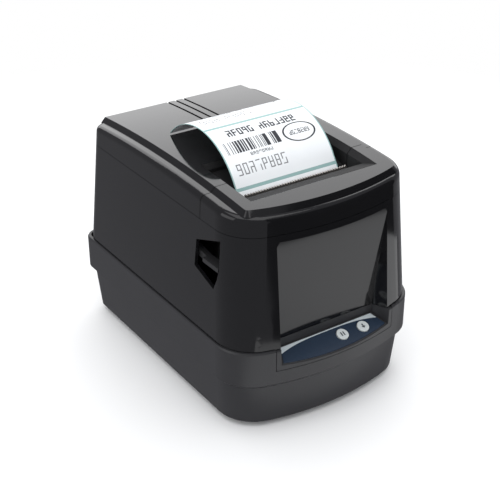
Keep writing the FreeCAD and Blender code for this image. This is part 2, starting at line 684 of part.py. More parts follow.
def make_tear_bar():
    count = int(2 * TEAR_HALF / TOOTH_PITCH)
    points = [V(-TEAR_HALF, 0, POCKET_FLOOR), V(-TEAR_HALF, 0, TEAR_TOP - TOOTH_HEIGHT)]
    for n in range(count):
        points.append(V(-TEAR_HALF + (n + 0.5) * TOOTH_PITCH, 0, TEAR_TOP))
        points.append(V(-TEAR_HALF + (n + 1) * TOOTH_PITCH, 0, TEAR_TOP - TOOTH_HEIGHT))
    points.append(V(TEAR_HALF, 0, POCKET_FLOOR))
    strip = Part.Face(Part.makePolygon(points + points[:1])).extrude(V(0, TEAR_THICK, 0))
    strip.translate(V(0, TEAR_Y - TEAR_THICK / 2, 0))
    return strip


def make_lid(outer, hollow):
    front_y = CROSS_SEAM_Y + CROSS_GAP / 2
    rear = block(-FAR, FAR, front_y, FAR, 0, FAR)
    walls = block(-SLOT_HALF - POCKET_WALL, SLOT_HALF + POCKET_WALL, front_y, SLOT_REAR + POCKET_WALL,
                  LID_FLOOR_LOW - POCKET_WALL, FAR)
    walls = walls.cut(block(-SLOT_HALF, SLOT_HALF, -FAR, SLOT_REAR, 0, FAR))
    floor = [(LID_FLOOR_FRONT, LID_FLOOR_LOW), (SLOT_REAR, LID_FLOOR_HIGH),
             (SLOT_REAR + POCKET_WALL, LID_FLOOR_HIGH),
             (SLOT_REAR + POCKET_WALL, LID_FLOOR_HIGH - POCKET_WALL),
             (LID_FLOOR_FRONT, LID_FLOOR_LOW - POCKET_WALL)]
    ramp = prism_x(floor, -SLOT_HALF - POCKET_WALL, SLOT_HALF + POCKET_WALL)
    pieces = [outer.cut(hollow), walls.common(outer), ramp]
    for x in (-EAR_X - EAR_THICK - HINGE_SIDE_GAP - KNUCKLE_LENGTH, EAR_X + EAR_THICK + HINGE_SIDE_GAP):
        barrel = rod_x(HINGE_KNUCKLE, x, x + KNUCKLE_LENGTH, HINGE_Y, HINGE_Z)
        web = block(x, x + KNUCKLE_LENGTH, HINGE_Y - WALL / 2, HINGE_Y + WALL / 2, HINGE_Z, HINGE_Z + WALL * 5)
        pieces += [barrel, web.common(outer)]
    shell = fused(pieces).common(rear)
    space = [(LID_FLOOR_FRONT, LID_FLOOR_LOW), (SLOT_REAR, LID_FLOOR_HIGH), (SLOT_REAR, FAR / 2),
             (-FAR / 2, FAR / 2), (-FAR / 2, SEAM), (LID_FLOOR_FRONT, SEAM)]
    shell = shell.cut(prism_x(space, -SLOT_HALF, SLOT_HALF)).cut(opening_dish())
    corner = block(-FAR, FAR, HINGE_Y, FAR, 0, HINGE_Z)
    corner = corner.cut(rod_x(HINGE_REACH - SEAM_GAP, -FAR, FAR, HINGE_Y, HINGE_Z))
    cuts = [corner, carrier_bar()]
    for x in (-EAR_X - EAR_THICK, EAR_X):
        cuts.append(block(x - HINGE_SIDE_GAP, x + EAR_THICK + HINGE_SIDE_GAP, HINGE_Y - WALL * 3, FAR, 0,
                          HINGE_Z + HINGE_REACH))
        cuts.append(rod_x(HINGE_PIN + RUN_CLEAR, x - WALL * 5, x + EAR_THICK + WALL * 5, HINGE_Y, HINGE_Z))
    for n in (-1, 0, 1):
        groove = block(n * GROOVE_PITCH - GROOVE_WIDTH / 2, n * GROOVE_PITCH + GROOVE_WIDTH / 2,
                       GROOVE_FRONT_Y, FAR, 0, FAR)
        cuts.append(groove.cut(crown_limit(CROWN_TOP - GROOVE_DEPTH)))
    return shell.cut(Part.makeCompound(cuts))


def tangent_path():
    """Web from the roll to the nip: tangent line, bend, then straight up."""
    bend_y = WEB_Y + BEND_RADIUS
    dy, dz = bend_y - ROLL_Y, BEND_Z - ROLL_Z
    length = math.hypot(dy, dz)
    roll_r = ROLL_RADIUS + PAPER_GAP
    heading = math.atan2(dz, dy) - math.asin((roll_r - BEND_RADIUS) / length)
    normal = (math.sin(heading), -math.cos(heading))
    leave = (ROLL_Y - roll_r * normal[0], ROLL_Z - roll_r * normal[1])
    meet = (bend_y - BEND_RADIUS * normal[0], BEND_Z - BEND_RADIUS * normal[1])
    middle = math.atan2(-normal[1], -normal[0])
    middle = (middle % (2 * math.pi) + math.pi) / 2
    turn = (bend_y + BEND_RADIUS * math.cos(middle), BEND_Z + BEND_RADIUS * math.sin(middle))
    return leave, meet, turn, (WEB_Y, BEND_Z)


def strip_solid(edges, width):
    """A band of web: the path's edges offset to a thin section, then drawn out across the width."""
    wire = Part.Wire(edges)
    ribbon = wire.extrude(V(width, 0, 0))
    ribbon.translate(V(-width / 2, 0, 0))
    return ribbon.makeOffsetShape(WEB_THICK, 1e-4, fill=True)


def at_yz(point):
    return V(0, point[0], point[1])


def make_web():
    leave, meet, turn, straight = tangent_path()
    top = (WEB_Y, strip_points()[0][1] - PAPER_GAP)
    edges = [Part.LineSegment(at_yz(leave), at_yz(meet)).toShape(),
             Part.Arc(at_yz(meet), at_yz(turn), at_yz(straight)).toShape(),
             Part.LineSegment(at_yz(straight), at_yz(top)).toShape()]
    return strip_solid(edges, WEB_WIDTH)


def strip_points():
    """The free end: up from the slot, bent back, straight, then over a wide loop down to the lid."""
    rise = math.radians(LOOP_SLOPE)
    fall = math.radians(TAIL_SLOPE)
    centre_z = LOOP_TOP - LOOP_RADIUS
    join = (LOOP_Y - LOOP_RADIUS * math.sin(rise), centre_z + LOOP_RADIUS * math.cos(rise))
    tail = (LOOP_Y + LOOP_RADIUS * math.sin(fall), centre_z + LOOP_RADIUS * math.cos(fall))
    run = (join[0] - WEB_Y - STRIP_BEND * (1 - math.sin(rise))) / math.cos(rise)
    bend_end = (join[0] - run * math.cos(rise), join[1] - run * math.sin(rise))
    bend_start = (WEB_Y, bend_end[1] - STRIP_BEND * math.cos(rise))
    half = (math.pi / 2 - rise) / 2
    bend_mid = (WEB_Y + STRIP_BEND * (1 - math.cos(half)), bend_start[1] + STRIP_BEND * math.sin(half))
    start = (WEB_Y, bend_start[1] - STRIP_LEAD)
    return start, bend_start, bend_mid, bend_end, join, (LOOP_Y, LOOP_TOP), tail


def make_label_strip():
    start, bend_start, bend_mid, bend_end, join, crest, tail = [at_yz(p) for p in strip_points()]
    edges = [Part.LineSegment(start, bend_start).toShape(),
             Part.Arc(bend_start, bend_mid, bend_end).toShape(),
             Part.LineSegment(bend_end, join).toShape(),
             Part.Arc(join, crest, tail).toShape()]
    return strip_solid(edges, WEB_WIDTH)


def make_guide_left():
    """Roll guide on the left: an upright cheek with a hub for the core, on a toothed slide."""
    low = BUCKET_LOW + RACK_FLOAT
    inner = -WEB_WIDTH / 2 - GUIDE_GAP
    cheek = block(inner - GUIDE_THICK, inner, ROLL_Y - GUIDE_HALF / 2, ROLL_Y + GUIDE_HALF / 2, low, ROLL_Z)
    disc = rod_x(GUIDE_HALF, inner - GUIDE_THICK, inner, ROLL_Y, ROLL_Z)
    hub = rod_x(CORE_BORE - PAPER_GAP, inner - GUIDE_THICK, inner + HUB_LENGTH, ROLL_Y, ROLL_Z)
    return fused([cheek, disc, hub, rack_bar(inner - GUIDE_THICK, RACK_REACH, low)])


def rack_bar(x0, x1, z0):
    """Toothed bar in front of the pinion, with a gap between teeth at x = 0."""
    pitch = math.pi * RACK_MODULE
    line = ROLL_Y - RACK_PITCH
    root = line - TOOTH_ROOT * RACK_MODULE
    tip = line + TOOTH_TIP * RACK_MODULE
    slope = math.tan(math.radians(PRESSURE_ANGLE))
    half = pitch / 4 - GEAR_BACKLASH / 2
    root_half = half + slope * (line - root)
    tip_half = half - slope * (tip - line)
    first = math.ceil((x0 + GUIDE_THICK + pitch) / pitch)
    last = math.floor((x1 - pitch) / pitch)
    points = [(x0, root - RACK_BAR), (x0, root)]
    for n in range(first, last):
        centre = (n + 0.5) * pitch
        points += [(centre - root_half, root), (centre - tip_half, tip)]
        points += [(centre + tip_half, tip), (centre + root_half, root)]
    points += [(x1, root), (x1, root - RACK_BAR)]
    ring = [V(x, y, z0) for x, y in points]
    return Part.Face(Part.makePolygon(ring + ring[:1])).extrude(V(0, 0, RACK_HEIGHT))


def make_guide_pinion():
    low = BUCKET_LOW + RACK_FLOAT
    outline = gear_face_points(RACK_TEETH, RACK_MODULE, -math.pi / 2)
    ring = [V(a, ROLL_Y + b, low) for a, b in outline]
    wheel = Part.Face(Part.makePolygon(ring + ring[:1])).extrude(V(0, 0, RACK_HEIGHT))
    return wheel.cut(rod_z(PINION_STUD + RUN_CLEAR, low, low + RACK_HEIGHT, 0, ROLL_Y))


def make_bucket():
    outer_r = BUCKET_RADIUS + BUCKET_WALL
    trough = rod_x(outer_r, -BUCKET_HALF, BUCKET_HALF, ROLL_Y, ROLL_Z)
    upper = block(-BUCKET_HALF, BUCKET_HALF, ROLL_Y - outer_r, ROLL_Y + outer_r, ROLL_Z, BUCKET_TOP)
    reach = BUCKET_FLAT + POST_RADIUS * 2
    pad = block(-BUCKET_HALF, BUCKET_HALF, ROLL_Y - reach, ROLL_Y + reach, BUCKET_BASE, BUCKET_LOW + WALL)
    body = fused([trough, upper, pad]).common(block(-FAR, FAR, -FAR, FAR, BUCKET_BASE, BUCKET_TOP))
    inner = BUCKET_HALF - BUCKET_WALL
    space = fused([rod_x(BUCKET_RADIUS, -inner, inner, ROLL_Y, ROLL_Z),
                   block(-inner, inner, ROLL_Y - BUCKET_RADIUS, ROLL_Y + BUCKET_RADIUS, ROLL_Z, FAR),
                   block(-inner, inner, ROLL_Y - BUCKET_FLAT, ROLL_Y + BUCKET_FLAT, BUCKET_LOW, ROLL_Z)])
    mouth = block(-inner, inner, -FAR, ROLL_Y - BUCKET_FLAT, BUCKET_FRONT_TOP, FAR)
    stud = rod_z(PINION_STUD, BUCKET_BASE, BUCKET_LOW + RACK_HEIGHT + RACK_FLOAT * 2, 0, ROLL_Y)
    return fused([body.cut(space).cut(mouth), stud])


def make_side_plate(sign):
    inner = PLATE_X if sign > 0 else -PLATE_X - PLATE_THICK
    plate = block(inner, inner + PLATE_THICK, PLATE_FRONT, PLATE_REAR, PLATE_LOW, PLATE_TOP)
    slot_half = SHAFT_RADIUS + PAPER_GAP
    cuts = [block(-FAR, FAR, PLATEN_Y - slot_half, PLATEN_Y + slot_half, NIP_Z, FAR),
            rod_x(slot_half, -FAR, FAR, PLATEN_Y, NIP_Z),
            rod_x(LATCH_RADIUS + RUN_CLEAR, -FAR, FAR, PIVOT_Y, PIVOT_Z),
            rod_x(HEAD_PIN, -FAR, FAR, HEAD_PIVOT_Y, HEAD_PIVOT_Z)]
    if sign > 0:
        cuts.append(rod_x(MOTOR_BOSS, -FAR, FAR, MOTOR_Y, MOTOR_Z))
        cuts.append(rod_x(STUD_RADIUS, -FAR, FAR, PLATEN_Y, COMPOUND_Z))
    return plate.cut(Part.makeCompound(cuts))


def make_motor():
    can = rod_x(MOTOR_RADIUS, PLATE_X - MOTOR_LENGTH, PLATE_X, MOTOR_Y, MOTOR_Z)
    boss = rod_x(MOTOR_BOSS, PLATE_X, PLATE_X + PLATE_THICK, MOTOR_Y, MOTOR_Z)
    bore = rod_x(MOTOR_SHAFT + RUN_CLEAR, PLATE_X - WALL, FAR, MOTOR_Y, MOTOR_Z)
    return fused([can, boss]).cut(bore)


def make_pinion():
    theta = math.radians(MOTOR_ANGLE)
    turn = theta + math.pi + math.pi / PINION_TEETH
    wheel = gear_x(PINION_TEETH, turn, 0, GEAR_B_X, MOTOR_Y, MOTOR_Z)
    shaft = rod_x(MOTOR_SHAFT, PLATE_X - WALL + RUN_CLEAR, GEAR_B_X + GEAR_WIDTH, MOTOR_Y, MOTOR_Z)
    return fused([wheel, shaft])


def make_reduction():
    small = gear_x(SMALL_TEETH, math.pi / 2, STUD_RADIUS + RUN_CLEAR, GEAR_A_X, PLATEN_Y, COMPOUND_Z)
    turn = math.radians(MOTOR_ANGLE)
    large = gear_x(LARGE_TEETH, turn, STUD_RADIUS + RUN_CLEAR, GEAR_B_X, PLATEN_Y, COMPOUND_Z)
    sleeve = rod_x(STUD_RADIUS * 2, GEAR_A_X, GEAR_B_X + GEAR_WIDTH, PLATEN_Y, COMPOUND_Z)
    sleeve = sleeve.cut(rod_x(STUD_RADIUS + RUN_CLEAR, 0, FAR, PLATEN_Y, COMPOUND_Z))
    return fused([small, large, sleeve])


def make_platen_gear():
    turn = -math.pi / 2 + math.pi / PLATEN_TEETH
    return gear_x(PLATEN_TEETH, turn, SHAFT_RADIUS, GEAR_A_X, PLATEN_Y, NIP_Z)


def carrier_bar():
    low = LID_FLOOR_LOW - PAPER_GAP
    return block(-CHEEK_X, CHEEK_X, CARRIER_REAR - WALL * 2, CARRIER_REAR, low, low + WALL)


def make_carrier():
    """Bracket under the lid: two cheeks for the bushings and a bar that joins them behind the roller."""
    front = CROSS_SEAM_Y + CROSS_GAP / 2 + CARRIER_SET
    top = LID_FLOOR_LOW + WALL * 2
    cheeks = [block(x, x + CHEEK_THICK, front, CARRIER_REAR, CARRIER_LOW, top)
              for x in (-CHEEK_X - CHEEK_THICK, CHEEK_X)]
    bores = [rod_x(BUSH_RADIUS, -FAR, FAR, PLATEN_Y, NIP_Z)]
    return fused(cheeks + [carrier_bar()]).cut(Part.makeCompound(bores))


def make_bushings():
    rings = []
    for x in (-CHEEK_X - CHEEK_THICK, CHEEK_X):
        ring = rod_x(BUSH_RADIUS, x, x + CHEEK_THICK, PLATEN_Y, NIP_Z)
        rings.append(ring.cut(rod_x(SHAFT_RADIUS + RUN_CLEAR, -FAR, FAR, PLATEN_Y, NIP_Z)))
    return Part.makeCompound(rings)


def make_head():
    half = HEAD_HALF - HEAD_MARGIN
    seat = HEAD_FACE - HEAD_STRIP
    strip = block(-half, half, seat, HEAD_FACE, HEAD_LOW + WALL * 2, HEAD_TOP - WALL)
    sink = block(-HEAD_HALF, HEAD_HALF, seat - HEAD_THICK, seat, HEAD_LOW, HEAD_TOP)
    sink = sink.cut(rod_x(HEAD_PIN + RUN_CLEAR, -FAR, FAR, HEAD_PIVOT_Y, HEAD_PIVOT_Z))
    return strip, sink


def make_springs():
    """Two compression springs between the head and its bracket."""
    back = HEAD_FACE - HEAD_STRIP - HEAD_THICK
    coils = []
    for x in (-SPRING_X, SPRING_X):
        ring = rod_y(SPRING_RADIUS, BRACKET_Y + RACK_FLOAT, back - RACK_FLOAT, x, SPRING_Z)
        coils.append(ring.cut(rod_y(SPRING_RADIUS - SPRING_WIRE, -FAR, FAR, x, SPRING_Z)))
    return Part.makeCompound(coils)


def make_lever(sign):
    """Finger blade that shows in the slot, on an arm that runs back to the shaft."""
    arm = prism_x([(BLADE_FRONT + WALL * 2, BLADE_LOW), (PIVOT_Y, PIVOT_Z - LATCH_RADIUS * 2),
                   (PIVOT_Y, PIVOT_Z + LATCH_RADIUS * 2), (BLADE_REAR, BLADE_TOP),
                   (BLADE_FRONT + WALL * 2, BLADE_TOP)], LEVER_X, LEVER_X + LEVER_THICK)
    hub = rod_x(LATCH_RADIUS * 2, LEVER_X, LEVER_X + LEVER_THICK, PIVOT_Y, PIVOT_Z)
    blade = block(LEVER_X, LEVER_OUTER, BLADE_FRONT, BLADE_REAR, BLADE_LOW, BLADE_TOP)
    lever = fused([arm, hub, blade]).cut(rod_x(LATCH_RADIUS, 0, FAR, PIVOT_Y, PIVOT_Z))
    return lever if sign > 0 else mirrored(lever)


def make_hook(sign):
    """Catch that stands behind the platen shaft, its nose just clear of the way up."""
    arm = prism_x([(PIVOT_Y - LATCH_RADIUS, PIVOT_Z), (HOOK_NOSE_Y + WALL, NIP_Z - WALL),
                   (HOOK_NOSE_Y + WALL, NIP_Z + SHAFT_RADIUS), (HOOK_NOSE_Y, HOOK_TOP - HOOK_EDGE),
                   (HOOK_NOSE_Y, HOOK_TOP), (HOOK_NOSE_Y + WALL * 2, HOOK_TOP),
                   (PIVOT_Y + LATCH_RADIUS, PIVOT_Z)], HOOK_X, HOOK_X + HOOK_THICK)
    hub = rod_x(LATCH_RADIUS * 2, HOOK_X, HOOK_X + HOOK_THICK, PIVOT_Y, PIVOT_Z)
    hook = fused([arm, hub]).cut(rod_x(LATCH_RADIUS, 0, FAR, PIVOT_Y, PIVOT_Z))
    return hook if sign > 0 else mirrored(hook)


def make_web_guide():
    """Nose bar that turns the web upward, held between the side plates."""
    bend_y = WEB_Y + BEND_RADIUS
    nose = BEND_RADIUS - WEB_THICK - PAPER_GAP
    low = BEND_Z - BEND_RADIUS
    bar = rod_x(nose, -PLATE_X, PLATE_X, bend_y, BEND_Z)
    return bar.common(block(-FAR, FAR, -FAR, FAR, low, BEND_Z - WALL)).cut(sensor_box(RACK_FLOAT))


def sensor_box(grow):
    bend_y = WEB_Y + BEND_RADIUS
    low = BEND_Z - BEND_RADIUS + SENSOR_FRONT - grow
    rear = bend_y + SENSOR_REAR + grow * FAR
    return block(-SENSOR_HALF - grow, SENSOR_HALF + grow, bend_y - SENSOR_FRONT - grow, rear,
                 low, BEND_Z - WALL * 2 + grow)


def make_socket(x, width, height, depth):
    rear = REAR_WALL_Y - SOCKET_FIT * 4
    return block(x - width / 2, x + width / 2, rear - depth, rear, USB_Z, USB_Z + height)


def make_usb():
    shell = make_socket(USB_X, USB_WIDTH, USB_HEIGHT, USB_DEPTH)
    rear = REAR_WALL_Y - SOCKET_FIT * 4
    inner = rear - USB_DEPTH + WALL
    way = block(USB_X - USB_MOUTH_HALF, USB_X + USB_MOUTH_HALF, inner, rear,
                USB_Z + USB_RIM, USB_Z + USB_HEIGHT - USB_RIM)
    tongue = block(USB_X - TONGUE_HALF, USB_X + TONGUE_HALF, inner, rear - WALL,
                   USB_Z + TONGUE_LOW, USB_Z + TONGUE_LOW + TONGUE_THICK)
    return shell.cut(way.cut(tongue))


def make_jack():
    shell = make_socket(JACK_X, JACK_WIDTH, JACK_HEIGHT, USB_DEPTH)
    rear = REAR_WALL_Y - SOCKET_FIT * 4
    bore = rod_y(JACK_BORE, rear - USB_DEPTH + WALL, rear, JACK_X, USB_Z + JACK_HEIGHT / 2)
    pin = rod_y(JACK_BORE / 3, rear - USB_DEPTH + WALL, rear - WALL, JACK_X, USB_Z + JACK_HEIGHT / 2)
    return shell.cut(bore.cut(pin))


def make_switch_body():
    rear = REAR_WALL_Y - WALL
    half_w = SWITCH_WIDTH / 2 - SOCKET_FIT
    half_h = SWITCH_HEIGHT / 2 - SOCKET_FIT
    case = block(SWITCH_X - half_w, SWITCH_X + half_w, rear - SWITCH_DEPTH, rear + WALL,
                 SWITCH_Z - half_h, SWITCH_Z + half_h)
    well_w = half_w - ROCKER_WALL
    well_h = half_h - ROCKER_SHELF
    well = block(SWITCH_X - well_w, SWITCH_X + well_w, rear - WALL * 3, FAR,
                 SWITCH_Z - well_h, SWITCH_Z + well_h)
    pivot = rod_z(ROCKER_PIN + RUN_CLEAR, SWITCH_Z - rocker_pin_half() - RUN_CLEAR,
                  SWITCH_Z + rocker_pin_half() + RUN_CLEAR, SWITCH_X, REAR_WALL_Y - WALL * 2)
    return case.cut(well).cut(pivot)


def rocker_pin_half():
    return SWITCH_HEIGHT / 2 - SOCKET_FIT - ROCKER_SHELF / 2


def make_rocker():
    rear = REAR_WALL_Y
    half_w = SWITCH_WIDTH / 2 - ROCKER_WALL - SOCKET_FIT * 2
    half_h = SWITCH_HEIGHT / 2 - ROCKER_SHELF - SOCKET_FIT * 2
    lean = ROCKER_PROUD / 2
    low_w = half_w - ROCKER_TAPER
    high_w = half_w - SOCKET_FIT
    points = [V(SWITCH_X - low_w, rear - WALL * 2, 0), V(SWITCH_X + low_w, rear - WALL * 2, 0),
              V(SWITCH_X + high_w, rear + lean, 0), V(SWITCH_X, rear - lean, 0),
              V(SWITCH_X - high_w, rear + lean, 0)]
    paddle = Part.Face(Part.makePolygon(points + points[:1])).extrude(V(0, 0, 2 * half_h))
    paddle.translate(V(0, 0, SWITCH_Z - half_h))
    reach = rocker_pin_half()
    pin = rod_z(ROCKER_PIN, SWITCH_Z - reach, SWITCH_Z + reach, SWITCH_X, rear - WALL * 2)
    return fused([paddle, pin])


def make_screws():
    screws = []
    for x, y in BOSSES:
        head = rod_z(SCREW_HEAD, SCREW_SEAT - SCREW_HEAD_HEIGHT, SCREW_SEAT, x, y)
        shank = rod_z(SCREW_RADIUS, SCREW_SEAT - SCREW_HEAD_HEIGHT, SCREW_SEAT + SCREW_LENGTH, x, y)
        screws.append(fused([head, shank]))
    return Part.makeCompound(screws)


def make_board_parts():
    top = BOARD_Z + BOARD_THICK
    cans = [rod_z(CAN_RADIUS, top, top + CAN_HEIGHT, x, CAN_Y) for x in CAN_XS]
    chips = [block(*edges, top, top + CHIP_THICK) for edges in (MAIN_CHIP, DRIVER_CHIP, MEMORY_CHIP)]
    return Part.makeCompound(cans), Part.makeCompound(chips)


def main():
    os.makedirs("parts", exist_ok=True)
    outer, hollow = shell_top()
    save("base_tub", make_base())
    save("main_housing", make_housing())
    save("front_top_bezel", make_bezel(outer, hollow))
    save("roll_lid", make_lid(outer, hollow))
    save("control_panel", make_panel())
    save("panel_overlay", make_overlay())
    save("pause_button", make_key(PAUSE_X))
    save("feed_button", make_key(FEED_X))
    save("status_lights", Part.makeCompound([panel_rod(LIGHT_RADIUS, x, -BOARD_SINK, 0) for x in LIGHT_XS]))
    save("button_board", make_button_board())
    save("rubber_feet", Part.makeCompound([rod_z(FOOT_RADIUS, 0, FOOT_HEIGHT, x, y) for x, y in FEET]))
    save("case_screws", make_screws())
    save("tear_bar", make_tear_bar())
    save("label_web", make_web())
    save("label_strip", make_label_strip())
    roll = rod_x(ROLL_RADIUS, -WEB_WIDTH / 2, WEB_WIDTH / 2, ROLL_Y, ROLL_Z)
    save("label_roll", roll.cut(rod_x(CORE_RADIUS, -FAR, FAR, ROLL_Y, ROLL_Z)))
    core = rod_x(CORE_RADIUS, -WEB_WIDTH / 2, WEB_WIDTH / 2, ROLL_Y, ROLL_Z)
    save("roll_core", core.cut(rod_x(CORE_BORE, -FAR, FAR, ROLL_Y, ROLL_Z)))
    left = make_guide_left()
    right = left.copy()
    right.rotate(V(0, ROLL_Y, 0), V(0, 0, 1), 180)
    save("roll_guide_left", left)
    save("roll_guide_right", right)
    save("guide_pinion", make_guide_pinion())
    save("roll_bucket", make_bucket())
    save("side_plate_left", make_side_plate(-1))
    save("side_plate_right", make_side_plate(1))
    save("stepper_motor", make_motor())
    save("motor_pinion", make_pinion())
    save("reduction_gear", make_reduction())
    save("gear_stud", rod_x(STUD_RADIUS, PLATE_X, GEAR_B_X + GEAR_WIDTH + STUD_END, PLATEN_Y, COMPOUND_Z))
    save("platen_gear", make_platen_gear())
    sleeve = rod_x(PLATEN_RADIUS, -PLATEN_HALF, PLATEN_HALF, PLATEN_Y, NIP_Z)
    save("platen_roller", sleeve.cut(rod_x(SHAFT_RADIUS, -FAR, FAR, PLATEN_Y, NIP_Z)))
    save("platen_shaft", rod_x(SHAFT_RADIUS, -GEAR_A_X, GEAR_A_X + GEAR_WIDTH, PLATEN_Y, NIP_Z))
    save("platen_carrier", make_carrier())
    save("platen_bushings", make_bushings())
    strip, sink = make_head()
    save("thermal_head", strip)
    save("head_heatsink", sink)
    plate_outer = PLATE_X + PLATE_THICK
    save("head_pivot_pin", rod_x(HEAD_PIN, -plate_outer, plate_outer, HEAD_PIVOT_Y, HEAD_PIVOT_Z))
    save("head_springs", make_springs())
    bracket = block(-PLATE_X, PLATE_X, BRACKET_Y - BRACKET_THICK, BRACKET_Y,
                    HEAD_LOW, PLATE_TOP + BRACKET_THICK)
    save("head_bracket", bracket)
    save("release_lever_left", make_lever(-1))
    save("release_lever_right", make_lever(1))
    lever_outer = LEVER_X + LEVER_THICK
    save("latch_shaft", rod_x(LATCH_RADIUS, -lever_outer, lever_outer, PIVOT_Y, PIVOT_Z))
    save("latch_hook_left", make_hook(-1))
    save("latch_hook_right", make_hook(1))
    ring = rod_x(LATCH_RADIUS + WALL, -PLATE_X, -PLATE_X + WALL * 2, PIVOT_Y, PIVOT_Z)
    save("latch_spring", ring.cut(rod_x(LATCH_RADIUS + PAPER_GAP, -FAR, FAR, PIVOT_Y, PIVOT_Z)))
    save("web_guide", make_web_guide())
    save("gap_sensor", sensor_box(0.0))
    switch_x = -plate_outer - LID_SWITCH_THICK
    save("lid_switch", block(switch_x, -plate_outer, *LID_SWITCH_DEPTH, *LID_SWITCH_HEIGHT))
    pins = [rod_x(HINGE_PIN, x, x + EAR_THICK + HINGE_SIDE_GAP + KNUCKLE_LENGTH, HINGE_Y, HINGE_Z)
            for x in (-EAR_X - EAR_THICK - HINGE_SIDE_GAP - KNUCKLE_LENGTH, EAR_X)]
    save("hinge_pins", Part.makeCompound(pins))
    save("main_board", block(-BOARD_HALF, BOARD_HALF, BOARD_FRONT, BOARD_REAR, BOARD_Z, BOARD_Z + BOARD_THICK))
    cans, chips = make_board_parts()
    save("power_capacitors", cans)
    save("board_chips", chips)
    save("usb_socket", make_usb())
    save("power_jack", make_jack())
    save("power_switch_body", make_switch_body())
    save("power_rocker", make_rocker())


main()
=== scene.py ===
import bpy
import math
from mathutils import Matrix, Vector

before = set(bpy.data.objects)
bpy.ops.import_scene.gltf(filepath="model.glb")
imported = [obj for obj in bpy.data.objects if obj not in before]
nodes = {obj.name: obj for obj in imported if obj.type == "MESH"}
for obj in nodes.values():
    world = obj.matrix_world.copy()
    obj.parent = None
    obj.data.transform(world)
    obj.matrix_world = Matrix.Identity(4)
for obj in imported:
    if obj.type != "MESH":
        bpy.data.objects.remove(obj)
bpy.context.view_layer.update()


class Flow:
    """A shader socket that can be added, multiplied and compared."""

    def __init__(self, tree, socket):
        self.tree = tree
        self.socket = socket

    @classmethod
    def paint(cls, name, *names, **constants):
        material = bpy.data.materials.new(name)
        material.use_nodes = True
        for key, value in constants.items():
            socket = key.replace("_", " ")
            material.node_tree.nodes["Principled BSDF"].inputs[socket].default_value = value
        for node in names:
            nodes[node].data.materials.clear()
            nodes[node].data.materials.append(material)
        coords = material.node_tree.nodes.new("ShaderNodeTexCoord")
        return cls(material.node_tree, coords.outputs["Object"])

    def node(self, kind, settings, sockets, output=0):
        made = self.tree.nodes.new(kind)
        for key, value in settings.items():
            setattr(made, key, value)
        for key, value in sockets.items():
            if isinstance(value, Flow):
                self.tree.links.new(value.socket, made.inputs[key])
            else:
                made.inputs[key].default_value = value
        return Flow(self.tree, made.outputs[output])

    def math(self, operation, *values):
        return self.node("ShaderNodeMath", {"operation": operation}, dict(enumerate(values)))

    def axis(self, letter):
        return self.node("ShaderNodeSeparateXYZ", {}, {0: self}, letter)

    def noise(self, scale, detail=2.0):
        return self.node("ShaderNodeTexNoise", {}, {"Vector": self, "Scale": scale, "Detail": detail})

    def mix(self, low, high):
        return self.node("ShaderNodeMix", {"data_type": "RGBA"}, {0: self, 6: low, 7: high}, 2)

    def bump(self, strength, distance):
        sockets = {"Height": self, "Strength": strength, "Distance": distance}
        return self.node("ShaderNodeBump", {}, sockets).to("Normal")

    def to(self, name):
        self.tree.links.new(self.socket, self.tree.nodes["Principled BSDF"].inputs[name])
        return self

    def __add__(self, other):
        return self.math("ADD", self, other)

    __radd__ = __add__

    def __sub__(self, other):
        return self.math("SUBTRACT", self, other)

    def __rsub__(self, other):
        return self.math("SUBTRACT", other, self)

    def __mul__(self, other):
        return self.math("MULTIPLY", self, other)

    __rmul__ = __mul__

    def __truediv__(self, other):
        return self.math("DIVIDE", self, other)

    def __lt__(self, other):
        return self.math("LESS_THAN", self, other)

    def __gt__(self, other):
        return self.math("GREATER_THAN", self, other)

    def __abs__(self):
        return self.math("ABSOLUTE", self)


tub = Flow.paint("satin_grain", "base_tub", "control_panel", IOR=1.5)
grain = tub.noise(2600.0, 3.0)
cloud = tub.noise(30.0)
cloud.mix((0.022, 0.022, 0.024, 1), (0.028, 0.028, 0.031, 1)).to("Base Color")
(grain * 0.10 + 0.36).to("Roughness")
grain.bump(0.10, 0.0001)

# Feet and screws under the base: four moulded rubber discs pressed into the floor
# and four plated screws that hold the housing down.
pad = Flow.paint("foot_rubber", "rubber_feet")
pad.noise(400.0).mix((0.012, 0.012, 0.012, 1), (0.022, 0.022, 0.021, 1)).to("Base Color")
(pad.noise(900.0) * 0.15 + 0.75).to("Roughness")
zinc = Flow.paint("screw_zinc", "case_screws", Metallic=1.0)
zinc.noise(300.0).mix((0.50, 0.50, 0.52, 1), (0.62, 0.62, 0.63, 1)).to("Base Color")
(zinc.noise(700.0) * 0.15 + 0.25).to("Roughness")

# Housing, front bezel and roll lid: piano-black gloss mouldings. The lid hinges at the
# back, the bezel is clipped to the housing, and the rim of the paper opening is left satin.
skin = Flow.paint("piano_black", "main_housing", "front_top_bezel", "roll_lid", IOR=1.5)
haze = skin.noise(22.0, 3.0)
haze.mix((0.0055, 0.0055, 0.0062, 1), (0.0070, 0.0070, 0.0078, 1)).to("Base Color")
crown_y, crown_z, crown_bend = 0.006, 0.1576, 0.5
rim_y, rim_half_x, rim_half_y = -0.0483, 0.0486, 0.0284
from_crown = skin.axis("Y") - crown_y
sunk = (crown_z - from_crown * from_crown * crown_bend) > skin.axis("Z")
rim = sunk * (abs(skin.axis("X")) < rim_half_x) * (abs(skin.axis("Y") - rim_y) < rim_half_y)
(haze * 0.03 + rim * 0.60 + 0.07).to("Roughness")

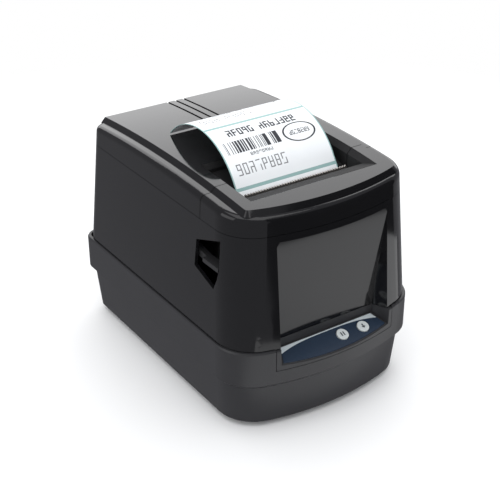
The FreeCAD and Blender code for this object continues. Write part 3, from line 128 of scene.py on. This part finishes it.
# Key panel film: a dark blue printed sheet on the sloping panel, with a silver flash
# along its back edge that widens towards both ends.
panel_fall, panel_run = 0.0062, 0.0155
panel_back_y, panel_back_z, panel_half = -0.090, 0.0548, 0.040
flash_middle, flash_widening = 0.0026, 0.0042
slope = math.atan2(panel_fall, panel_run)
panel_back = -panel_back_y * math.cos(slope) - panel_back_z * math.sin(slope)
film = Flow.paint("panel_film", "panel_overlay", IOR=1.5)
along = film.axis("Y") * -math.cos(slope) + film.axis("Z") * -math.sin(slope)
ends = abs(film.axis("X")) / panel_half
flash = (along - panel_back) < (ends * ends * ends * flash_widening + flash_middle)
weave = film.noise(500.0)
flash.mix(weave.mix((0.014, 0.027, 0.050, 1), (0.018, 0.033, 0.060, 1)),
          weave.mix((0.48, 0.54, 0.57, 1), (0.56, 0.61, 0.63, 1))).to("Base Color")
(flash * 0.10 + 0.24).to("Roughness")

# Keys: two round light-grey caps that stand proud of the film, marked with plain
# pause bars and a feed arrow in dark ink.
ink = (0.03, 0.04, 0.05, 1)
key_drop = 0.00918
for name, key_x in (("pause_button", 0.008), ("feed_button", 0.025)):
    cap = Flow.paint(name + "_cap", name, IOR=1.48)
    across = cap.axis("X") - key_x
    down = cap.axis("Y") * -math.cos(slope) + cap.axis("Z") * -math.sin(slope) - (panel_back + key_drop)
    if name == "pause_button":
        mark = (abs(abs(across) - 0.0009) < 0.00045) * (abs(down) < 0.0016)
    else:
        stem = (abs(across) < 0.0005) * (abs(down + 0.0008) < 0.0010)
        mark = stem.math("MAXIMUM", stem, (abs(across) < (0.0018 - down)) * (down > 0.0002))
    pale = cap.noise(300.0).mix((0.56, 0.60, 0.60, 1), (0.62, 0.66, 0.66, 1))
    mark.mix(pale, ink).to("Base Color")
    (cap.noise(800.0) * 0.10 + 0.32).to("Roughness")

# Status lights: three clear light pipes under the film, unlit.
pipe = Flow.paint("light_pipe", "status_lights", IOR=1.49, Transmission_Weight=0.3)
pipe.noise(900.0).mix((0.20, 0.26, 0.30, 1), (0.27, 0.33, 0.37, 1)).to("Base Color")
(pipe.noise(600.0) * 0.1 + 0.15).to("Roughness")

# Tear bar: a toothed strip of brushed stainless steel, folded and screwed in front
# of the paper slot. The brush marks run along its length.
blade = Flow.paint("tear_steel", "tear_bar", Metallic=1.0)
brush_scale = (8.0, 900.0, 2600.0)
streak = blade.node("ShaderNodeMapping", {}, {"Vector": blade, "Scale": brush_scale}).noise(1.0, 3.0)
streak.mix((0.66, 0.62, 0.58, 1), (0.86, 0.82, 0.77, 1)).to("Base Color")
(streak * 0.20 + 0.42).to("Roughness")

# Printed labels: white coated stock on a teal liner that shows in the gaps between labels.
# Each carries plain generic print: a title row, bars with a small row under them, a ringed
# field and a row of large thin figures.
loop_y, loop_z, loop_radius = -0.0025, 0.126, 0.048
rise = math.radians(57.0)
label_pitch, label_gap, label_start, label_half = 0.0478, 0.0022, -0.0053, 0.0387
stock = Flow.paint("label_print", "label_strip", IOR=1.45)
x, y, z = stock.axis("X"), stock.axis("Y"), stock.axis("Z")
turn = x.math("ARCTAN2", y - loop_y, z - loop_z)
straight = (y - loop_y + loop_radius * math.sin(rise)) * math.cos(rise) \
    + (z - loop_z - loop_radius * math.cos(rise)) * math.sin(rise)
on_curve = turn > -rise
run = on_curve * ((turn + rise) * loop_radius) + (1.0 - on_curve) * straight - label_start
place = run.math("FLOORED_MODULO", run, label_pitch)
upward = stock.node("ShaderNodeTexCoord", {}, {}, "Normal").axis("Z") > 0.0
liner = place.math("MAXIMUM", place > (label_pitch - label_gap), abs(x) > label_half)

# Each stroke as its side and its level: three lying ones, then four upright ones.
seven_strokes = ((0, 1), (0, 0), (0, -1), (-1, 0.5), (1, 0.5), (-1, -0.5), (1, -0.5))
stroke_share = 0.28


def glyph_row(left, pitch, count, middle, half, stroke, seed):
    """A row of plain marks, each made of some of seven strokes as a numeral is."""
    column = (x - left) / pitch
    index = column.math("FLOOR", column)
    across = (column.math("FRACT", column) - 0.5) * pitch
    wide = pitch * 0.27
    row = index * 0.0
    for number, (side, level) in enumerate(seven_strokes):
        long_x, long_y = (0.0, half / 2) if side else (wide, 0.0)
        where = index.node("ShaderNodeCombineXYZ", {}, {0: index, 1: seed + number})
        dice = where.node("ShaderNodeTexWhiteNoise", {"noise_dimensions": "2D"}, {"Vector": where})
        lit = dice > stroke_share
        inside_x = abs(across - side * wide) < (long_x + stroke)
        inside_y = abs(place - middle - level * half) < (long_y + stroke)
        row = row.math("MAXIMUM", row, inside_x * inside_y * lit)
    return row * (abs(x - left - pitch * count / 2) < pitch * count / 2)


bar_width, bar_share = 0.00056, 0.46
bars_x, bars_half, bars_place, bars_tall = -0.0145, 0.0205, 0.0265, 0.0047
bar_cell = x.math("FLOOR", x / bar_width)
bar_dice = bar_cell.node("ShaderNodeTexWhiteNoise", {"noise_dimensions": "1D"}, {"W": bar_cell})
bars = (bar_dice > bar_share) * (abs(x - bars_x) < bars_half) * (abs(place - bars_place) < bars_tall)
field_x, field_place, field_wide, field_tall, field_line = 0.0220, 0.0262, 0.0125, 0.0075, 0.055
ring_x, ring_y = (x - field_x) / field_wide, (place - field_place) / field_tall
ring = abs(x.math("SQRT", ring_x * ring_x + ring_y * ring_y) - 0.96) < field_line
marks = bars.math("MAXIMUM", bars, ring)
for row in (glyph_row(-0.0274, 0.0041, 5, 0.0383, 0.0026, 0.00056, 3.0),
            glyph_row(-0.0028, 0.0041, 7, 0.0383, 0.0026, 0.00056, 23.0),
            glyph_row(-0.0200, 0.0022, 8, 0.0193, 0.0009, 0.00020, 43.0),
            glyph_row(0.0140, 0.0023, 7, 0.0262, 0.0015, 0.00028, 63.0)):
    marks = marks.math("MAXIMUM", marks, row)
figures = glyph_row(-0.0345, 0.0049, 8, 0.0109, 0.0034, 0.00034, 83.0)
shown = upward * (1.0 - liner)
face = stock.noise(120.0).mix((0.86, 0.89, 0.91, 1), (0.90, 0.92, 0.94, 1))
pale_print = (figures * shown).mix(face, (0.16, 0.16, 0.17, 1))
inked = (marks * shown).mix(pale_print, (0.035, 0.037, 0.045, 1))
liner.mix(inked, (0.30, 0.47, 0.46, 1)).to("Base Color")
(stock.noise(700.0) * 0.08 + 0.40).to("Roughness")

# Label web, roll and core: the same stock between the roll and the print line, wound on
# a card tube. The wound edges show fine rings.
wound = Flow.paint("wound_stock", "label_web", "label_roll")
roll_y, roll_z, winding = 0.034, 0.093, 9000.0
from_y, from_z = wound.axis("Y") - roll_y, wound.axis("Z") - roll_z
rings = wound.math("SINE", wound.math("SQRT", from_y * from_y + from_z * from_z) * winding)
(rings * 0.5 + 0.5).mix((0.62, 0.72, 0.72, 1), (0.86, 0.89, 0.90, 1)).to("Base Color")
(wound.noise(500.0) * 0.1 + 0.5).to("Roughness")
tube = Flow.paint("card_tube", "roll_core")
tube.noise(260.0, 4.0).mix((0.36, 0.26, 0.16, 1), (0.46, 0.35, 0.23, 1)).to("Base Color")
(tube.noise(400.0) * 0.1 + 0.8).to("Roughness")

# Inner mouldings: roll bucket and guides, platen carrier, web guide and release levers,
# all in matt black plastic with a spark-eroded texture.
inner = Flow.paint("inner_moulding", "roll_bucket", "roll_guide_left", "roll_guide_right", "platen_carrier",
                   "web_guide", "release_lever_left", "release_lever_right")
spark = inner.noise(1800.0, 3.0)
inner.noise(40.0).mix((0.018, 0.018, 0.019, 1), (0.026, 0.026, 0.028, 1)).to("Base Color")
(spark * 0.18 + 0.45).to("Roughness")
spark.bump(0.12, 0.0001)

# Gears and bushings: natural acetal, cream white and slightly waxy.
acetal = Flow.paint("acetal", "platen_bushings", "platen_gear", "reduction_gear", "guide_pinion")
acetal.noise(90.0).mix((0.70, 0.68, 0.62, 1), (0.76, 0.75, 0.70, 1)).to("Base Color")
(acetal.noise(600.0) * 0.1 + 0.35).to("Roughness")

# Platen: a black rubber sleeve ground true on its steel shaft.
sleeve = Flow.paint("platen_rubber", "platen_roller")
sleeve.noise(300.0).mix((0.014, 0.014, 0.014, 1), (0.024, 0.024, 0.024, 1)).to("Base Color")
(sleeve.noise(900.0) * 0.12 + 0.6).to("Roughness")

# Mechanism in steel: folded side plates and bracket, shafts, pins, hooks, springs and the
# motor's can, in plated sheet and ground rod.
steel_pieces = ("side_plate_left", "side_plate_right", "head_bracket", "head_pivot_pin", "head_springs",
                "stepper_motor", "motor_pinion", "gear_stud", "platen_shaft", "latch_shaft",
                "latch_hook_left", "latch_hook_right", "latch_spring", "hinge_pins", "usb_socket")
plate = Flow.paint("plated_steel", *steel_pieces, Metallic=1.0)
plate.noise(160.0, 4.0).mix((0.46, 0.46, 0.47, 1), (0.58, 0.58, 0.59, 1)).to("Base Color")
(plate.noise(420.0) * 0.18 + 0.28).to("Roughness")

# Print head: a glazed ceramic strip bonded to an extruded aluminium heat sink.
glaze = Flow.paint("head_glaze", "thermal_head")
glaze.noise(200.0).mix((0.68, 0.64, 0.57, 1), (0.76, 0.73, 0.66, 1)).to("Base Color")
(glaze.noise(500.0) * 0.1 + 0.2).to("Roughness")
sink = Flow.paint("sink_aluminium", "head_heatsink", Metallic=1.0)
sink.noise(240.0, 3.0).mix((0.60, 0.60, 0.62, 1), (0.72, 0.72, 0.74, 1)).to("Base Color")
(sink.noise(700.0) * 0.15 + 0.3).to("Roughness")

# Circuit boards: glass-fibre laminate under a green solder mask, on moulded posts.
mask = Flow.paint("solder_mask", "main_board", "button_board")
mask.noise(500.0, 4.0).mix((0.012, 0.11, 0.045, 1), (0.020, 0.16, 0.07, 1)).to("Base Color")
(mask.noise(800.0) * 0.1 + 0.25).to("Roughness")

# Board parts, sockets and switches: black moulded bodies soldered to the board or
# snapped into the rear wall.
body = Flow.paint("moulded_part", "power_capacitors", "board_chips", "gap_sensor", "lid_switch",
                  "power_jack", "power_switch_body", "power_rocker")
body.noise(350.0).mix((0.012, 0.012, 0.013, 1), (0.020, 0.020, 0.022, 1)).to("Base Color")
(body.noise(900.0) * 0.12 + 0.4).to("Roughness")

# Floor: a plain pale sheet under the object. It fades out away from the object, so no far
# edge of it shows against the white background.


def plain_sheet(name, size, location, colour, rotation=(0, 0, 0), scale=(1, 1, 1)):
    """A flat sheet in one matt colour."""
    bpy.ops.mesh.primitive_plane_add(size=size, location=location, rotation=rotation)
    sheet = bpy.context.object
    sheet.name = name
    sheet.scale = scale
    matt = bpy.data.materials.new(name + "_matt")
    matt.use_nodes = True
    matt.node_tree.nodes["Principled BSDF"].inputs["Base Color"].default_value = colour
    matt.node_tree.nodes["Principled BSDF"].inputs["Roughness"].default_value = 0.9
    sheet.data.materials.append(matt)
    return sheet


paper_white = (0.90, 0.90, 0.90, 1)
floor = plain_sheet("floor", 2.0, (0, 0, 0), paper_white)
paper = floor.data.materials[0]
fade_start, fade_end = 0.22, 0.62
spread = Flow(paper.node_tree, paper.node_tree.nodes.new("ShaderNodeTexCoord").outputs["Object"])
reach = spread.math("SQRT", spread.axis("X") * spread.axis("X") + spread.axis("Y") * spread.axis("Y"))
fade = {"Value": reach, 1: fade_start, 2: fade_end, 3: 1.0, 4: 0.0}
reach.node("ShaderNodeMapRange", {}, fade).to("Alpha")
floor.visible_glossy = False

# Studio light: an overhead softbox, a large one behind that the polished top mirrors,
# and a weak fill on the left.
for name, spot, aim, size, power in (
        ("overhead", (-0.10, -0.15, 1.30), (0, 0, 0.08), (1.2, 1.2), 6.0),
        ("back_softbox", (0.80, 1.18, 0.86), (0, 0, 0.12), (2.6, 1.1), 16.0),
        ("left_fill", (-1.30, 0.10, 0.60), (0, 0, 0.08), (0.9, 0.9), 3.0)):
    lamp = bpy.data.lights.new(name, "AREA")
    lamp.shape = "RECTANGLE"
    lamp.size, lamp.size_y = size
    lamp.energy = power
    holder = bpy.data.objects.new(name, lamp)
    holder.location = spot
    holder.rotation_euler = (Vector(spot) - Vector(aim)).to_track_quat("Z", "Y").to_euler()
    holder.visible_camera = False
    bpy.context.scene.collection.objects.link(holder)

# Dark screen: a black card beside the camera that keeps the polished front dark; it is
# seen only in reflections.
screen = plain_sheet("dark_screen", 1.0, (0.55, -0.75, 0.30), (0.004, 0.004, 0.005, 1),
                     rotation=(math.radians(90), 0, math.radians(36)), scale=(1.3, 1.5, 1.0))


def reflection_only(sheet):
    """Hide a sheet from everything but mirror rays."""
    for ray in ("visible_camera", "visible_diffuse", "visible_shadow", "visible_transmission"):
        setattr(sheet, ray, False)


reflection_only(screen)

# White card: it lies on the floor before the front bay and lights the bay's mirror wall;
# it too is seen only in reflections.
card = plain_sheet("white_card", 1.0, (0.09, -0.18, 0.001), paper_white, scale=(0.42, 0.13, 1.0))
reflection_only(card)

# White background for the camera, a grey room for light and a darker one for mirrors.
world = bpy.data.worlds.new("room")
bpy.context.scene.world = world
world.use_nodes = True
sky = world.node_tree
path = sky.nodes.new("ShaderNodeLightPath")
tone = (0.93, 0.94, 0.96, 1)
for ray, colour in (("Is Glossy Ray", (0.30, 0.30, 0.32, 1)), ("Is Camera Ray", (1, 1, 1, 1))):
    step = sky.nodes.new("ShaderNodeMix")
    step.data_type = "RGBA"
    sky.links.new(path.outputs[ray], step.inputs[0])
    if isinstance(tone, tuple):
        step.inputs[6].default_value = tone
    else:
        sky.links.new(tone, step.inputs[6])
    step.inputs[7].default_value = colour
    tone = step.outputs[2]
sky.links.new(tone, sky.nodes["Background"].inputs["Color"])
sky.nodes["Background"].inputs["Strength"].default_value = 1.0
bpy.context.scene.view_settings.view_transform = "Standard"

# Camera: at the photograph's angle, from the front left and above.
azimuth, elevation = math.radians(-34.21), math.radians(28.74)
level = Vector((math.sin(azimuth), -math.cos(azimuth), 0)) * math.cos(elevation)
back = level + Vector((0, 0, math.sin(elevation)))
right = Vector((math.cos(azimuth), math.sin(azimuth), 0))
up = back.cross(right)
lens = bpy.data.cameras.new("camera")
lens.lens = 80.35
lens.sensor_width = 36.0
camera = bpy.data.objects.new("camera", lens)
camera.matrix_world = Matrix((
    (right.x, up.x, back.x, -0.3840),
    (right.y, up.y, back.y, -0.5686),
    (right.z, up.z, back.z, 0.44835),
    (0, 0, 0, 1)))
bpy.context.scene.collection.objects.link(camera)
bpy.context.scene.camera = camera
